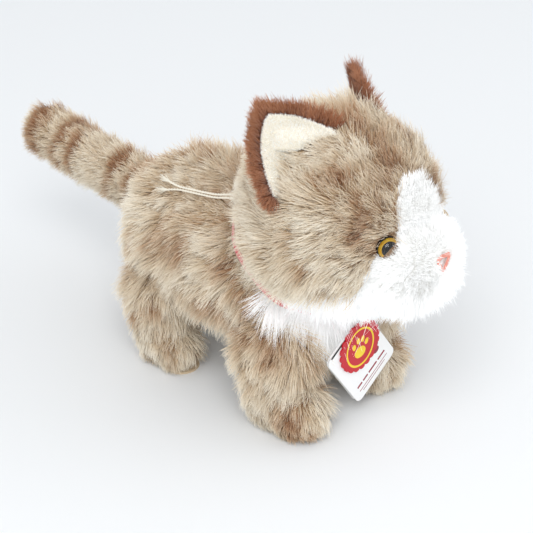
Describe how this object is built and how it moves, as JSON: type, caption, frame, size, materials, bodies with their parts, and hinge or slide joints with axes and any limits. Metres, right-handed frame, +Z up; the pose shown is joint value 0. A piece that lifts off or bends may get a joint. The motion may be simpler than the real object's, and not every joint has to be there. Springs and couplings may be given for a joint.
{
  "type": "plush cat",
  "caption": "Standing plush cat with long tabby pile, white muzzle and chest, domed eyes, a ribbon round the neck and two hang tags on twine.",
  "frame": {"origin": "on the ground under the middle of the cat's length", "axes": "+Z up; the cat faces -Y and its tail points along +Y; +X is the cat's own left side"},
  "size_m": [0.103, 0.287, 0.1731],
  "materials": {
    "tabby_pile": "long taupe and cream pile with brown tabby marks",
    "white_pile": "long white pile",
    "white_short_pile": "short dense white pile",
    "rust_pile": "rust-brown pile",
    "cream_plush": "short cream plush",
    "sole_plush": "short taupe plush",
    "stuffing": "polyester fibre",
    "ribbon": "satin",
    "twine": "two-ply cotton",
    "embroidery": "satin stitch",
    "clear_dome": "clear, polished",
    "black_plastic": "polished",
    "amber_paint": "glossy paint",
    "washer_plastic": "moulded",
    "seal_card": "printed card",
    "white_card": "coated card"
  },
  "bodies": {
    "torso": {"body_side_left": "tabby_pile", "body_side_right": "tabby_pile", "belly_panel": "tabby_pile", "chest_bib": "white_pile", "body_stuffing": "stuffing", "neck_ribbon": "ribbon", "twine_loop": "twine", "twine_knot": "twine", "twine_end_a": "twine", "twine_end_b": "twine", "twine_tuft_a": "twine", "twine_tuft_b": "twine"},
    "neck": {"neck_stuffing": "stuffing"},
    "head": {"head_side_left": "tabby_pile", "head_side_right": "tabby_pile", "crown_gusset": "tabby_pile", "muzzle_panel": "white_short_pile", "chin_panel": "white_pile", "head_stuffing": "stuffing", "nose_embroidery": "embroidery", "eye_dome_left": "clear_dome", "eye_pupil_left": "black_plastic", "eye_iris_left": "amber_paint", "eye_back_left": "black_plastic", "eye_washer_left": "washer_plastic", "eye_dome_right": "clear_dome", "eye_pupil_right": "black_plastic", "eye_iris_right": "amber_paint", "eye_back_right": "black_plastic", "eye_washer_right": "washer_plastic"},
    "ear_left": {"ear_back_left": "rust_pile", "ear_lining_left": "cream_plush"},
    "ear_right": {"ear_back_right": "rust_pile", "ear_lining_right": "cream_plush"},
    "front_leg_left": {"front_leg_skin_left": "tabby_pile", "front_leg_stuffing_left": "stuffing", "front_sole_left": "sole_plush"},
    "front_leg_right": {"front_leg_skin_right": "tabby_pile", "front_leg_stuffing_right": "stuffing", "front_sole_right": "sole_plush"},
    "hind_leg_left": {"hind_leg_skin_left": "tabby_pile", "hind_leg_stuffing_left": "stuffing", "hind_sole_left": "sole_plush"},
    "hind_leg_right": {"hind_leg_skin_right": "tabby_pile", "hind_leg_stuffing_right": "stuffing", "hind_sole_right": "sole_plush"},
    "tail": {"tail_skin": "tabby_pile", "tail_stuffing": "stuffing"},
    "tags": {"seal_tag": "seal_card", "card_tag": "white_card", "tag_loop": "twine"}
  },
  "joints": [
    {"name": "neck_turn", "type": "hinge", "parent": "torso", "child": "neck", "pos_m": [0, -0.082, 0.115], "axis": [0, 0, 1], "range_deg": [-20, 20], "stiffness_Nm_per_rad": 0.3},
    {"name": "head_nod", "type": "hinge", "parent": "neck", "child": "head", "pos_m": [0, -0.082, 0.115], "axis": [1, 0, 0], "range_deg": [-12, 12], "stiffness_Nm_per_rad": 0.3},
    {"name": "ear_fold_left", "type": "hinge", "parent": "head", "child": "ear_left", "pos_m": [0.0304, -0.0738, 0.1429], "axis": [0.6854, 0.2934, -0.6664], "range_deg": [-5, 12], "stiffness_Nm_per_rad": 0.02},
    {"name": "ear_fold_right", "type": "hinge", "parent": "head", "child": "ear_right", "pos_m": [-0.0261, -0.0797, 0.1479], "axis": [0.8358, -0.1335, 0.5326], "range_deg": [-5, 12], "stiffness_Nm_per_rad": 0.02},
    {"name": "front_leg_swing_left", "type": "hinge", "parent": "torso", "child": "front_leg_left", "pos_m": [0.029, -0.068, 0.042], "axis": [1, 0, 0], "range_deg": [-2, 15], "stiffness_Nm_per_rad": 0.3},
    {"name": "front_leg_swing_right", "type": "hinge", "parent": "torso", "child": "front_leg_right", "pos_m": [-0.029, -0.068, 0.042], "axis": [1, 0, 0], "range_deg": [-2, 15], "stiffness_Nm_per_rad": 0.3},
    {"name": "hind_leg_swing_left", "type": "hinge", "parent": "torso", "child": "hind_leg_left", "pos_m": [0.029, 0.016, 0.042], "axis": [1, 0, 0], "range_deg": [-10, 15], "stiffness_Nm_per_rad": 0.3},
    {"name": "hind_leg_swing_right", "type": "hinge", "parent": "torso", "child": "hind_leg_right", "pos_m": [-0.029, 0.016, 0.042], "axis": [1, 0, 0], "range_deg": [-10, 15], "stiffness_Nm_per_rad": 0.3},
    {"name": "tail_lift", "type": "hinge", "parent": "torso", "child": "tail", "pos_m": [0, 0.05, 0.073], "axis": [1, 0, 0], "range_deg": [-20, 25], "stiffness_Nm_per_rad": 0.2},
    {"name": "tag_swing", "type": "hinge", "parent": "torso", "child": "tags", "pos_m": [0, -0.097, 0.066], "axis": [-1, 0, 0], "range_deg": [0, 40]}
  ]
}
